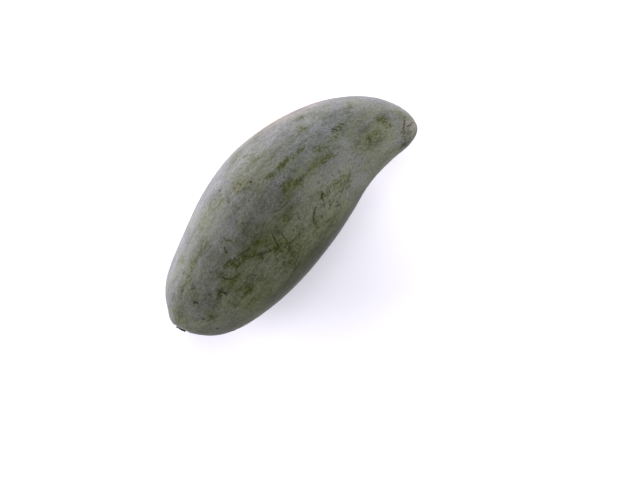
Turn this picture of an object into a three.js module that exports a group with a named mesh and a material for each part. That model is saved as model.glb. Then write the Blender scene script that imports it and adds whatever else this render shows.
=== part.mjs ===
// A long green mango, picked, lying on one cheek. Millimetres, +Z up.
//
// The stalk end is at -X and the tip at +X, the full back is at +Y and the flatter belly at -Y. The side
// outline lies in the middle plane of the fruit, with one cheek above it and the other below, and the lower
// cheek rests at z = 0 on a small flat spot.

import * as THREE from "three";
import { mergeVertices } from "three/addons/utils/BufferGeometryUtils.js";

// ---- driving dimensions ----
const LENGTH = 161; // stalk end to tip
const THICKNESS = 60; // cheek to cheek at the fullest, before the swelling
const REST_DEPTH = 0.4; // how far the lower cheek is pressed flat where it rests

// Thickness over width along the fruit, as a share of what it is in the middle.
const ROUNDNESS = { stalk: 1.1, middle: 1, tip: 1.2 };
const SQUARENESS = 0.025; // how much fuller than an ellipse a cross-section is at its four shoulders

// The stalk end: a shallow dish with a socket in it, where the stub of the stalk stands.
const RIM_RADIUS = 4.9;
const DISH_DEPTH = 0.8;
const SOCKET_RADIUS = 3.2;
const SOCKET_DEPTH = 2.6;
const STUB_RADIUS = 2.8;
const STUB_PROUD = 0.8; // how far the stub stands out past the rim
const STUB_SEAT = 0.35; // between the stub and the floor of its socket

const AROUND = 72; // faces round the girth
const BODY_ROWS = 50; // rows of faces from the rim of the dish to the tip

// ---- side outline ----
// Both edges run from the stalk end to the tip as Bezier spans: two handles and an end.
const DRAWN_LENGTH = 161; // the length of fruit that these points are drawn for
const STALK_END = [-79.5, -15.4];
const TIP = [79.8, -12.6];
const BACK_SPANS = [
  [[-81.2, -12.5], [-81.3, -8.3], [-79.5, -5.5]], // over the blunt end of the shoulder
  [[-76.3, -0.6], [-74.4, 7.6], [-58, 15.6]], // round the shoulder
  [[-39, 25.4], [-17, 36.6], [6, 36.6]], // up to the crown of the back
  [[30, 36.6], [57.6, 28.6], [73.2, 9.6]], // down the long curve of the back
  [[77.2, 4.2], [81.8, -6], TIP], // over the nose
];
const BELLY_SPANS = [
  [[-78, -18.2], [-72.9, -27.8], [-61, -32.8]], // under the shoulder
  [[-52, -36.2], [-40, -36.6], [-30, -36.6]], // to the fullest of the belly
  [[-9, -36.6], [12, -31.2], [32, -24.2]], // up towards the hollow
  [[41, -21], [49, -18.8], [66, -19.3]], // along the hollow before the beak
  [[73.5, -19.5], [78.8, -17.2], TIP], // round the beak
];

function outlinePoint([x, y]) {
  return new THREE.Vector2(x, y).multiplyScalar(LENGTH / DRAWN_LENGTH);
}

function edgeOf(spans) {
  const edge = new THREE.CurvePath();
  let from = outlinePoint(STALK_END);
  for (const span of spans) {
    const [handleA, handleB, to] = span.map(outlinePoint);
    edge.add(new THREE.CubicBezierCurve(from, handleA, handleB, to));
    from = to;
  }
  return edge;
}

const backEdge = edgeOf(BACK_SPANS);
const bellyEdge = edgeOf(BELLY_SPANS);

// Back to belly, a share s of the way along both edges from the stalk end to the tip.
function widthAt(s) {
  return backEdge.getPoint(s).distanceTo(bellyEdge.getPoint(s));
}

const fullestWidth = Math.max(...Array.from({ length: 101 }, (_, i) => widthAt(i / 100)));

// ---- skin ----
const { lerp, smoothstep } = THREE.MathUtils;

// Half the thickness, a share s of the way from the stalk end to the tip.
function halfThicknessAt(s) {
  const { stalk, middle, tip } = ROUNDNESS;
  const roundness = lerp(lerp(stalk, middle, smoothstep(s, 0, 0.4)), tip, smoothstep(s, 0.45, 1));
  return (roundness * (THICKNESS / 2) * widthAt(s)) / fullestWidth;
}

// Slow, uneven swelling of a grown fruit, in mm. It fades out along the two edges, which keeps the outline.
function swelling(s, angle) {
  const waves =
    0.25 * Math.sin(2 * angle + 7 * s) +
    0.18 * Math.sin(3 * angle - 11 * s + 1.3) +
    0.15 * Math.sin(angle + 19 * s + 0.4);
  return waves * Math.sin(Math.PI * s) * Math.abs(Math.sin(angle));
}

// A point of the skin, a share s of the way along, at an angle round the girth from the back.
function skinPoint(s, angle) {
  const back = backEdge.getPoint(s);
  const belly = bellyEdge.getPoint(s);
  const fullness = 1 + SQUARENESS * Math.sin(2 * angle) ** 2;
  const towardsBack = (1 + fullness * Math.cos(angle)) / 2;
  const up = (halfThicknessAt(s) * fullness + swelling(s, angle)) * Math.sin(angle);
  const { x, y } = belly.lerp(back, towardsBack);
  return new THREE.Vector3(x, y, up);
}

// ---- stalk end ----
const RIM_SHARE = RIM_RADIUS / ((backEdge.getLength() + bellyEdge.getLength()) / 2);
const rimAtBack = skinPoint(RIM_SHARE, 0);
const rimAtBelly = skinPoint(RIM_SHARE, Math.PI);
const rimCentre = rimAtBack.clone().add(rimAtBelly).divideScalar(2);
const stalkAxis = rimAtBack.clone().sub(rimAtBelly).normalize().cross(new THREE.Vector3(0, 0, -1));

// Rings of the dish from its middle out, up to but without the rim: radius, and depth below the rim.
const DISH_RINGS = [
  [0, SOCKET_DEPTH],
  [SOCKET_RADIUS / 2, SOCKET_DEPTH],
  [SOCKET_RADIUS, SOCKET_DEPTH],
  [SOCKET_RADIUS, DISH_DEPTH],
  [lerp(SOCKET_RADIUS, RIM_RADIUS, 0.4), 0.7 * DISH_DEPTH],
  [lerp(SOCKET_RADIUS, RIM_RADIUS, 0.8), 0.2 * DISH_DEPTH],
];

function dishPoint([radius, depth], angle) {
  return skinPoint(RIM_SHARE, angle)
    .lerp(rimCentre, 1 - radius / RIM_RADIUS)
    .addScaledVector(stalkAxis, -depth);
}

// ---- fruit ----
// A sphere's rows of faces become the rings of the dish and then the rows of the skin.
function fruitGeometry() {
  const geometry = new THREE.SphereGeometry(1, AROUND, DISH_RINGS.length + BODY_ROWS);
  const { position } = geometry.attributes;
  for (let i = 0; i < position.count; i++) {
    const row = Math.floor(i / (AROUND + 1));
    const angle = (-2 * Math.PI * (i % (AROUND + 1))) / AROUND;
    const along = (row - DISH_RINGS.length) / BODY_ROWS;
    // the rows lie closer together at both ends, where the skin turns most
    const share = along - 0.1 * Math.sin(2 * Math.PI * along);
    const point =
      row < DISH_RINGS.length
        ? dishPoint(DISH_RINGS[row], angle)
        : skinPoint(lerp(RIM_SHARE, 1, share), angle);
    position.setXYZ(i, point.x, point.y, point.z);
  }
  return closed(geometry);
}

// Presses the lowest of the cheek flat, for the fruit to rest on.
function pressFlat(geometry) {
  geometry.computeBoundingBox();
  const floor = geometry.boundingBox.min.z + REST_DEPTH;
  const { position } = geometry.attributes;
  for (let i = 0; i < position.count; i++) position.setZ(i, Math.max(floor, position.getZ(i)));
}

// ---- stub of the stalk ----
// A short woody disc, drawn up its own Y axis from its foot in the socket, with a sunken, broken-off face.
function stubGeometry() {
  const foot = STUB_SEAT - SOCKET_DEPTH;
  const profile = [
    [0, foot],
    [0.9 * STUB_RADIUS, foot],
    [STUB_RADIUS, foot + 0.3],
    [STUB_RADIUS, 0.3 * STUB_PROUD],
    [0.92 * STUB_RADIUS, STUB_PROUD],
    [0.6 * STUB_RADIUS, 0.85 * STUB_PROUD],
    [0, 0.6 * STUB_PROUD],
  ];
  return closed(new THREE.LatheGeometry(profile.map(([x, y]) => new THREE.Vector2(x, y)), 30));
}

// Keeps the positions alone and joins them up, so that the surface is closed.
function closed(geometry) {
  geometry.deleteAttribute("normal");
  geometry.deleteAttribute("uv");
  return mergeVertices(geometry, 1e-4);
}

// ---- assembly ----
function piece(name, geometry, color, roughness) {
  const material = new THREE.MeshStandardMaterial({ color, roughness, metalness: 0 });
  const mesh = new THREE.Mesh(geometry, material);
  mesh.name = name;
  return mesh;
}

const fruit = piece("fruit", fruitGeometry(), 0x7d8474, 0.55);
pressFlat(fruit.geometry);

const stemStub = piece("stem_stub", stubGeometry(), 0x2e2622, 0.85);
stemStub.position.copy(rimCentre);
stemStub.quaternion.setFromUnitVectors(new THREE.Vector3(0, 1, 0), stalkAxis);

// The group is centred over the origin and set down at z = 0.
const mango = new THREE.Group();
mango.add(fruit, stemStub);
const box = new THREE.Box3().setFromObject(mango, true);
const centre = box.getCenter(new THREE.Vector3());
mango.position.set(-centre.x, -centre.y, -box.min.z);

export default mango;
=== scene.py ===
import math
import bmesh
import bpy
import numpy as np
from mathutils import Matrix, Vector


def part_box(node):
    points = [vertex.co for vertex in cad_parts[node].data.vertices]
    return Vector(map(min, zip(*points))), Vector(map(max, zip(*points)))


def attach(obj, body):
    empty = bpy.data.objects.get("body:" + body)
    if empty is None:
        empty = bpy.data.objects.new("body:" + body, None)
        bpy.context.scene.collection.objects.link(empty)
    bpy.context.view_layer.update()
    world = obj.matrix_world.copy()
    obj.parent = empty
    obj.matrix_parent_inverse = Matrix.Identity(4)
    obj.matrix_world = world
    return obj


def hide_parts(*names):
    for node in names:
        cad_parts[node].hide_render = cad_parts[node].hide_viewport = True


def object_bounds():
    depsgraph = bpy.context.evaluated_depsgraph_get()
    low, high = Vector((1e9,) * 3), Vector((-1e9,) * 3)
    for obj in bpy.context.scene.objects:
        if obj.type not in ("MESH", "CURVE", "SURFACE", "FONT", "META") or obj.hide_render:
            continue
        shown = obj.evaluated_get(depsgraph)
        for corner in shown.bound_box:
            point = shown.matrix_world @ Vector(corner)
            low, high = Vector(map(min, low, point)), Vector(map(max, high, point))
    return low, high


# A long green mango lying on one cheek, seen from straight above. Metres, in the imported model's frame:
# stalk end at -X, tip at +X, back at +Y, belly at -Y, and the upper cheek facing +Z.

mm = 0.001

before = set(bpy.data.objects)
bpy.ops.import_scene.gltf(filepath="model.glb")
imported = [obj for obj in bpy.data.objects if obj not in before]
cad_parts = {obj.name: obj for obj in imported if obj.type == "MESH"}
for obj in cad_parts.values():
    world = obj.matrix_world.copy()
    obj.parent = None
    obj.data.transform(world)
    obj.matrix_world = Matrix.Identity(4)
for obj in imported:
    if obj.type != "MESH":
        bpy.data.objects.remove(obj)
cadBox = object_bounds()
middleZ = (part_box("stem_stub")[0].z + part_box("stem_stub")[1].z) / 2   # the stalk stands in the middle plane
print("frame loaded:", sorted(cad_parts))

shot = {
    "distance": 0.9,          # from the lens to the middle plane of the fruit
    "frameWidth": 0.3259,     # how much the picture spans at the middle plane
    "sensor": 36.0,           # in mm
    "roll": -40.5,            # degrees, which puts the stalk end low on the left
    "aimX": 4.1 * mm,
    "aimY": -26.4 * mm,
    "clipStart": 0.01,
}

studio = {
    "floorSize": 6.0,
    "floorZ": -0.2 * mm,      # just clear of the fruit
    "floorColor": (0.885, 0.865, 0.965, 1.0),
    "floorGlow": 0.22,        # a little light of its own, like a lit table
    "worldColor": (0.95, 0.94, 1.0, 1.0),
    "worldLight": 0.03,       # what lights the fruit
    "worldSeen": 1.0,         # what the camera sees past the floor
    # name: place, width, height, watts, colour; each lamp looks at the fruit
    "lamps": {
        "leftSoftbox": ((-0.66, 0.66, 0.24), 0.70, 0.42, 18.8, (1.0, 0.99, 0.98)),
        "rightSoftbox": ((0.66, 0.66, 0.24), 0.60, 0.40, 10.9, (1.0, 0.99, 0.98)),
        "tipPanel": ((0.93, 0.0, 0.25), 0.60, 0.40, 4.8, (1.0, 1.0, 1.0)),
        "bellyPanel": ((0.58, -0.74, 0.26), 0.60, 0.40, 8.8, (1.0, 1.0, 1.0)),
        "overheadPanel": ((0.25, 0.25, 0.95), 0.70, 0.70, 4.0, (1.0, 1.0, 1.0)),
    },
}


def pickNothing():
    if bpy.context.object and bpy.context.object.mode != "OBJECT":
        bpy.ops.object.mode_set(mode="OBJECT")
    bpy.ops.object.select_all(action="DESELECT")


def pickOnly(piece):
    pickNothing()
    piece.select_set(True)
    bpy.context.view_layer.objects.active = piece


def addCamera():
    bpy.ops.object.camera_add(
        location=(shot["aimX"], shot["aimY"], middleZ + shot["distance"]),
        rotation=(0, 0, math.radians(shot["roll"])),
    )
    camera = bpy.context.object
    camera.name = "overheadCamera"
    camera.data.sensor_width = shot["sensor"]
    camera.data.lens = shot["sensor"] * shot["distance"] / shot["frameWidth"]
    camera.data.clip_start = shot["clipStart"]
    bpy.context.scene.camera = camera


def fillInputs(tree, made, sockets):
    # sockets: name or number of an input, and a value for it or the output that feeds it
    for name, value in (sockets or {}).items():
        if isinstance(value, bpy.types.NodeSocket):
            tree.links.new(value, made.inputs[name])
        else:
            made.inputs[name].default_value = value
    return made


def addNode(tree, kind, sockets=None, **settings):
    made = tree.nodes.new("ShaderNode" + kind)
    for name, value in settings.items():
        setattr(made, name, value)
    return fillInputs(tree, made, sockets)


def newMaterial(name):
    material = bpy.data.materials.new(name)
    material.use_nodes = True
    material.node_tree.nodes.clear()
    return material, material.node_tree


def addFloor():
    pickNothing()
    bpy.ops.mesh.primitive_plane_add(size=studio["floorSize"], location=(0, 0, studio["floorZ"]))
    floor = bpy.context.object
    floor.name = "studioFloor"
    material, tree = newMaterial("floorPaint")
    shader = addNode(tree, "BsdfPrincipled", {
        "Base Color": studio["floorColor"], "Roughness": 0.55, "Specular IOR Level": 0.2,
        "Emission Color": studio["floorColor"], "Emission Strength": studio["floorGlow"]})
    addNode(tree, "OutputMaterial", {"Surface": shader.outputs[0]})
    floor.data.materials.append(material)


def addWorld():
    world = bpy.data.worlds.new("studioAir")
    world.use_nodes = True
    tree = world.node_tree
    tree.nodes.clear()
    lit = addNode(tree, "Background", {0: studio["worldColor"], 1: studio["worldLight"]})
    seen = addNode(tree, "Background", {0: studio["worldColor"], 1: studio["worldSeen"]})
    fromCamera = addNode(tree, "LightPath").outputs["Is Camera Ray"]
    both = addNode(tree, "MixShader", {0: fromCamera, 1: lit.outputs[0], 2: seen.outputs[0]})
    addNode(tree, "OutputWorld", {"Surface": both.outputs[0]})
    bpy.context.scene.world = world


def addLamps():
    target = Vector((0, 0, middleZ))
    for name, (place, width, height, power, color) in studio["lamps"].items():
        aim = (target - Vector(place)).to_track_quat("-Z", "Y").to_euler()
        bpy.ops.object.light_add(type="AREA", location=place, rotation=aim)
        lamp = bpy.context.object
        lamp.name = name
        lamp.data.shape = "RECTANGLE"
        lamp.data.size = width
        lamp.data.size_y = height
        lamp.data.energy = power
        lamp.data.color = color


addCamera()
addFloor()
addWorld()
addLamps()
bpy.context.scene.view_settings.view_transform = "Standard"
print("camera, floor and light ready")


fruitShape = {
    "mergeWithin": 0.002 * mm,
    "smoothSteps": 2,
    "fullness": 0.15 * mm,        # what the smoothing takes off, put back
    "rimCentre": Vector((-78.76 * mm, -14.72 * mm, middleZ)),
    "rimRadius": 4.9 * mm,
    "tip": Vector((80.07 * mm, -12.58 * mm, middleZ)),
    "ribs": 160,                  # steps along the fruit, by which places on the skin are worked out
    "flatness": 0.87,             # thickness over width, by which the angle round the girth is worked out
    "girthRadius": 34 * mm,       # what the width is evened out towards where the grain is laid
    "scar": Vector((67.5 * mm, -18.4 * mm, middleZ + 2 * mm)),   # where the flower's style was
    "scarWide": 1.5 * mm,
    "scarDeep": 0.45 * mm,
    "scarRing": 0.12 * mm,        # the low ring round it
    "rollDeep": 0.30 * mm,        # the slow rise and fall of the whole skin
    "rollLength": 17 * mm,
    "pebbleDeep": 0.07 * mm,      # and a much finer one
    "pebbleLength": 3.4 * mm,
    "creaseCount": 13,            # short creases that run out from the stalk
    "creaseDeep": 0.16 * mm,
    "seed": 11,
}


def copyOfNode(name, newName):
    # a CAD node's mesh is loose triangles, so the copy is joined up and its flat pairs made quads
    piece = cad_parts[name].copy()
    piece.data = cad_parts[name].data.copy()
    piece.name = newName
    piece.parent = None
    for key in list(piece.keys()):
        del piece[key]
    bpy.context.scene.collection.objects.link(piece)
    piece.data.materials.clear()
    pickOnly(piece)
    bpy.ops.object.mode_set(mode="EDIT")
    bpy.ops.mesh.select_all(action="SELECT")
    bpy.ops.mesh.remove_doubles(threshold=fruitShape["mergeWithin"])
    bpy.ops.mesh.tris_convert_to_quads()
    bpy.ops.mesh.normals_make_consistent(inside=False)
    bpy.ops.object.mode_set(mode="OBJECT")
    return piece


def smoothPiece(piece, steps):
    smooth = piece.modifiers.new("smooth", "SUBSURF")
    smooth.levels = steps
    smooth.render_levels = steps
    pickOnly(piece)
    bpy.ops.object.modifier_apply(modifier=smooth.name)


def readPoints(mesh):
    points = np.zeros(len(mesh.vertices) * 3, np.float32)
    mesh.vertices.foreach_get("co", points)
    return points.reshape(-1, 3).astype(float)


def writePoints(mesh, points):
    mesh.vertices.foreach_set("co", points.astype(np.float32).ravel())
    mesh.update()


def readNormals(mesh):
    normals = np.zeros(len(mesh.vertices) * 3, np.float32)
    mesh.vertex_normals.foreach_get("vector", normals)
    return normals.reshape(-1, 3).astype(float)


def resample(line, count):
    # count points at equal steps along a line of points
    steps = np.r_[0, np.cumsum(np.linalg.norm(np.diff(line, axis=0), axis=1))]
    at = np.linspace(0, steps[-1], count)
    return np.stack([np.interp(at, steps, line[:, k]) for k in range(line.shape[1])], 1), steps[-1]


def findRibs(mesh):
    # the back edge and the belly edge, each cut into equal steps from the stalk end to the tip:
    # a rib joins the two points of the same step
    count = fruitShape["ribs"]
    points = readPoints(mesh)
    rim = np.array(fruitShape["rimCentre"])
    onMiddle = abs(points[:, 2] - middleZ) < 0.01 * mm
    outside = np.linalg.norm(points - rim, axis=1) > 0.95 * fruitShape["rimRadius"]
    edge = points[onMiddle & outside][:, :2]
    turn = np.arctan2(edge[:, 1], edge[:, 0])
    stalkTurn = math.atan2(rim[1], rim[0])
    fromStalk = (stalkTurn - turn) % (2 * math.pi)      # clockwise, so over the back first
    edge = edge[np.argsort(fromStalk)]
    tipAt = np.argmin(np.linalg.norm(edge - np.array(fruitShape["tip"])[:2], axis=1))
    start = rim[None, :2]
    back, backLength = resample(np.r_[start, edge[:tipAt + 1]], count)
    belly, bellyLength = resample(np.r_[start, edge[tipAt:][::-1]], count)
    return back, belly, (backLength + bellyLength) / 2


def layFlow(points, ribs):
    # for each point of the skin: how far along the fruit it lies, from 0 to 1, and the angle round the
    # girth, which is 0 on the back and half a turn on the belly
    back, belly, length = ribs
    chord = back - belly
    count = len(back)
    side = np.zeros((len(points), count), np.float32)
    for k in range(count):
        toPoint = points[:, :2] - belly[k]
        cross = toPoint[:, 0] * chord[k, 1] - toPoint[:, 1] * chord[k, 0]
        side[:, k] = cross / (np.linalg.norm(chord[k]) + 1e-6)
    ahead = side > 0
    ahead[:, 0] = True
    ahead[:, -1] = False
    k = np.argmin(ahead, axis=1)                        # the first rib that the point lies short of
    rows = np.arange(len(points))
    before, after = side[rows, k - 1], side[rows, k]
    share = np.clip(before / np.maximum(before - after, 1e-9), 0, 1)
    along = (k - 1 + share) / (count - 1)
    backAt = back[k - 1] * (1 - share[:, None]) + back[k] * share[:, None]
    bellyAt = belly[k - 1] * (1 - share[:, None]) + belly[k] * share[:, None]
    half = np.maximum(np.linalg.norm(backAt - bellyAt, axis=1) / 2, 1 * mm)
    outward = (backAt - bellyAt) / (2 * half[:, None])
    across = ((points[:, :2] - (backAt + bellyAt) / 2) * outward).sum(1)
    girth = np.arctan2((points[:, 2] - middleZ) / fruitShape["flatness"], across)
    radius = np.sqrt(half * fruitShape["girthRadius"])
    grain = np.stack([along * length, radius * np.cos(girth), radius * np.sin(girth)], 1)
    return along, girth, grain


def eased(value, low, high):
    share = np.clip((value - low) / (high - low), 0, 1)
    return share * share * (3 - 2 * share)


def bell(value, middle, wide):
    # 1 at the middle, fading out at about as far from it as wide says
    return np.exp(-((value - middle) / wide) ** 2)


def rolling(points, wave, chance, count=14):
    # a soft uneven swell between 0 and 1: a few sine waves that run in all directions
    total = np.zeros(len(points))
    for k in range(count):
        way = chance.normal(size=3)
        way *= 2 * math.pi / (wave * chance.uniform(0.7, 1.5)) / np.linalg.norm(way)
        total += np.sin(points @ way + chance.uniform(0, 2 * math.pi))
    return 0.5 + 0.5 * np.tanh(total / math.sqrt(count))


def relieve(skin, grain):
    # real unevenness, all of it cut inwards, so that the skin stays within its size
    shape = fruitShape
    chance = np.random.default_rng(shape["seed"])
    points = readPoints(skin.data)
    normals = readNormals(skin.data)
    depth = shape["rollDeep"] * rolling(grain * [0.6, 1, 1], shape["rollLength"], chance)
    depth += shape["pebbleDeep"] * rolling(grain * [0.7, 1, 1], shape["pebbleLength"], chance, 24)
    fromScar = np.linalg.norm(points - np.array(shape["scar"]), axis=1) / shape["scarWide"]
    depth += shape["scarDeep"] * bell(fromScar, 0, 1) - shape["scarRing"] * bell(fromScar, 1.9, 0.5)
    fromRim = points - np.array(shape["rimCentre"])
    rimDistance = np.linalg.norm(fromRim, axis=1) / shape["rimRadius"]
    rimTurn = np.arctan2(fromRim[:, 2], fromRim[:, 1])
    uneven = 1.4 * np.sin(2 * rimTurn) + 0.8 * np.sin(3 * rimTurn + 1)
    crease = 0.5 + 0.5 * np.cos(shape["creaseCount"] * rimTurn + uneven)
    ringOnly = eased(rimDistance, 0.72, 0.95) * (1 - eased(rimDistance, 1.15, 1.9))
    depth += shape["creaseDeep"] * ringOnly * crease
    depth = np.maximum(depth, 0) - shape["fullness"]
    depth *= eased(points[:, 2], 0.25 * mm, 2.5 * mm)          # the flat spot it rests on stays as it is
    depth *= eased(rimDistance, 0.60, 0.72)                    # and so does the socket round the stalk
    points -= normals * depth[:, None]
    writePoints(skin.data, np.clip(points, cadBox[0], cadBox[1]))


def makeFruit():
    skin = copyOfNode("fruit", "mango_skin")
    ribs = findRibs(skin.data)
    smoothPiece(skin, fruitShape["smoothSteps"])
    bpy.ops.object.shade_smooth()
    along, girth, grain = layFlow(readPoints(skin.data), ribs)
    relieve(skin, grain)
    return skin, along, girth, grain


skin, along, girth, grain = makeFruit()
print("fruit shaped:", len(skin.data.polygons), "faces")


# Strokes on the upper cheek: half-width in mm, strength, and then the points of its line in mm, as it looks
# from above. A single point makes a dot. First, where the waxy bloom is rubbed off:
rubs = [
    (2.5, 0.855, (8.7, 5.5), (11.7, 4.7), (15.2, 3.3)),
    (1.7, 0.6, (5.7, 0.9), (7.7, 0.5)),
    (1.6, 0.8, (19.5, 3.6), (22.5, 2.8)),
    (1.8, 1, (24.5, 4.6), (27.9, 4.2), (32.9, 3.2), (36.4, 2.8)),
    (1.2, 0.37, (4, 15.6), (7.7, 14.8)),
    (1.4, 0.66, (12.2, 15.8), (15.2, 15), (18.6, 15.6)),
    (1.3, 0.7, (21.7, 14.4), (24.2, 14.8), (28.1, 14.8)),
    (1.5, 0.7, (45.6, 11.5), (48.1, 10.9), (50.6, 10.3)),
    (1.3, 0.55, (40.1, 10.3), (43.7, 9.7)),
    (1.1, 0.75, (47.1, 10), (50.1, 9.9)),
    (2.5, 0.5, (31.1, 11), (33.6, 9)),
    (1.7, 1.0, (-51.6, 6.5), (-54.1, 4.9)),
    (1.5, 0.8, (-55.6, 4.1), (-58.6, 2.7)),
    (1.8, 0.75, (-60.1, 1.1), (-62, 1.7), (-64.6, 1.7)),
    (1.7, 0.4, (-67.6, 0.1), (-71.5, -1.3)),
    (1.8, 0.6, (-40.6, 10.5), (-45.6, 8.7)),
    (2.0, 0.8, (67, 0.9), (67.8, -1.5)),
    (1.6, 0.65, (67.4, -3.5), (68.2, -4.9)),
    (3.9, 0.4, (51.1, -3.5), (56.6, -3.9), (61, -5)),
    (1.7, 0.5, (56.1, -2.1), (57.1, -5.1)),
    (2.1, 0.8, (33.3, 23.4), (35.1, 22.8)),
    (1.1, 0.35, (36.6, 27.8), (38.1, 27)),
    (1.3, 1.0, (20, -8.9), (18.9, -10.9)),
    (1.5, 0.75, (20.2, -14.5), (21.6, -16.1)),
    (1.6, 0.45, (22.4, -7.3), (24, -8.3)),
    (1.8, 0.7, (28.7, -9.9), (30.7, -11.9), (29.1, -13.5)),
    (1.5, 0.55, (31.1, -11.9), (33.1, -12.1)),
    (1.3, 0.9, (34.1, -9.1), (35.3, -11.1), (34.7, -13.3)),
    (1.7, 0.3, (26.2, -11), (27.1, -13.5)),
    (3.4, 0.3, (12.2, -19.9), (14.7, -23.4)),
    (1.6, 0.4, (8.2, -16), (6.6, -19)),
    (1.6, 0.85, (-2.8, -5.7), (-1.8, -7.1), (-3, -8.1)),
    (1.2, 0.3, (2.2, -4.5), (3, -5.1)),
    (1.7, 1, (-21.7, -6.9), (-19.3, -8.3), (-17.1, -9.7)),
    (1.3, 0.5, (-15.7, -0.1), (-14.3, -0.9), (-12.5, -2.1)),
    (1.3, 0.6, (-32.7, -5.5), (-29.7, -5.9), (-26.1, -6.3)),
    (1.3, 1.0, (-31.3, -6.9), (-29.3, -9.5), (-26.7, -11.1), (-24.7, -11.4)),
    (1.4, 0.95, (-37.3, -6.9), (-37.1, -9.1)),
    (1.4, 0.8, (-34.7, -9.9), (-32.7, -9.1), (-31.1, -8.5)),
    (1.5, 0.5, (-27.7, -7.9), (-25.1, -9.1)),
    (1.2, 0.6, (-36.3, -11.5), (-35.1, -10.9)),
    (1.1, 0.6, (-41.6, -4.9), (-39.6, -5.3), (-37.3, -4.3)),
    (1.8, 0.5, (-40.1, -6.3), (-38.2, -6.1)),
    (1.5, 0.7, (-44.1, -13.3), (-40.6, -14.3), (-38.2, -13.9)),
    (1.4, 0.6, (-25.7, -12.7), (-24.3, -13.9)),
    (1.3, 0.5, (-20.2, -13.9), (-15.1, -15.9)),
    (1.4, 0.75, (-32.9, 4.3), (-31.9, 3.9)),
    (1.7, 0.55, (-43.6, -21.4), (-41, -22.8), (-39, -22.2)),
    (1.4, 0.4, (-39.8, -18.5), (-40.2, -20.4)),
    (1.6, 0.25, (-33.7, -17.5), (-36.3, -17.9)),
    (2.3, 0.3, (-49.1, -12.5), (-53.1, -14.5)),
    (1.2, 0.6, (-54.4, -13.3), (-53.2, -15.1)),
    (1.5, 0.4, (-55.6, -16.5), (-56.8, -17.5)),
    (3.4, 0.45, (-39.6, -28.9), (-44.6, -28.9)),
    (1.2, 0.5, (-9.3, -19.5), (-11.7, -22)),
    (2.5, 0.35, (-8.2, -21.8), (-10.2, -24.4)),
    (2.5, 0.45, (-15.7, -23.4), (-18.3, -24)),
    # partly painted shade: strong rubs along the belly edge, which also darken it where it lies in shadow
    (2.5, 1.0, (-4.8, -29.4), (-11.7, -30.4)),
    (2.5, 1.0, (0.2, -31), (6.2, -30.4), (12.2, -28.8)),
    (3.9, 0.35, (-27.7, -24.4), (-32.7, -26.4)),
    (1.5, 0.6, (-63.2, -20.6), (-62, -21.8)),
    (1.6, 0.4, (-59.6, -11.5), (-57.6, -11)),
    (2.7, 0.45, (-75.5, -5.5), (-76, -10.5), (-73.5, -15.1)),
    (2.2, 0.25, (-14.3, 13), (-18.7, 12.1)),
    (3.0, 0.5, (-6.7, 21), (-10.7, 20.8)),
    (2.7, 0.3, (2.2, 30.4), (4.2, 29.4), (5.2, 26.4)),
    (3.2, 0.28, (-26.7, 21.8), (-20.7, 21.6)),
    (2.5, 0.35, (-33.7, 18.8), (-37.3, 17.8)),
    (2.1, 0.3, (-55.2, 12.4), (-57, 11.1)),
    (2.1, 0.5, (58.1, 13.9), (60, 15.4)),
    (1.2, 1.0, (67.4, -17.4), (68.8, -17.9)),
    (0.9, 0.6, (65.6, -17.4), (66.4, -17.6)),
    (1.0, 0.55, (-46.1, -10), (-43.1, -12.9), (-40.1, -13.5), (-36.7, -12.5)),
    (1.3, 0.6, (-39.6, -5.5), (-34.7, -5.8), (-30.7, -6.5)),
    (0.9, 0.5, (-31.2, -5.5), (-27.7, -10), (-22.2, -12.5), (-16.7, -13.7), (-14.2, -15.5)),
    (2.0, 0.5, (-41.6, -20.4), (-39.1, -22.9)),
    (1.0, 0.45, (-36.2, -13.5), (-34.7, -16)),
    (1.2, 0.4, (-44.6, -17.5), (-42.6, -20.4)),
    (1.2, 0.5, (-9.7, -15.5), (-11.2, -20.4), (-11.7, -26.4)),
    (2.2, 0.45, (-16.7, -22.4), (-13.7, -28.4)),
    (1.6, 0.35, (-23.7, -20.4), (-20.7, -24.4)),
    (1.6, 0.35, (-29.7, -24.4), (-26.7, -27.4)),
    (1.8, 0.35, (-51.6, -20.4), (-48.6, -25.4)),
    (2.2, 0.45, (-5.7, -20.4), (-2.8, -27.4)),
    (1.1, 0.35, (-32.7, -20.9), (-29.7, -19.5)),
    (1.3, 0.5, (12.2, -12.5), (8.7, -16), (7.2, -19.5)),
    (1.8, 0.45, (18.2, -9.5), (22.2, -11.5), (26.2, -10.5), (31.1, -12.5)),
    (1.5, 0.5, (19.2, -16.5), (23.2, -18)),
    (1.4, 0.5, (30.1, -9.5), (36.1, -11)),
    (1.3, 0.4, (26.2, -14), (30.1, -14.5)),
    (8.0, 0.26, (-44.6, -15.5), (-29.7, -20.4), (-11.7, -22.4), (4.2, -18.5)),
    (1.1, 0.45, (-55.6, 5), (-49.6, 6.5), (-41.6, 10)),
    (1.3, 0.4, (-66.6, 0.5), (-57.6, 2.5)),
    (1.8, 0.35, (-11.7, 21.4), (-8.7, 20.4)),
]
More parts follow.
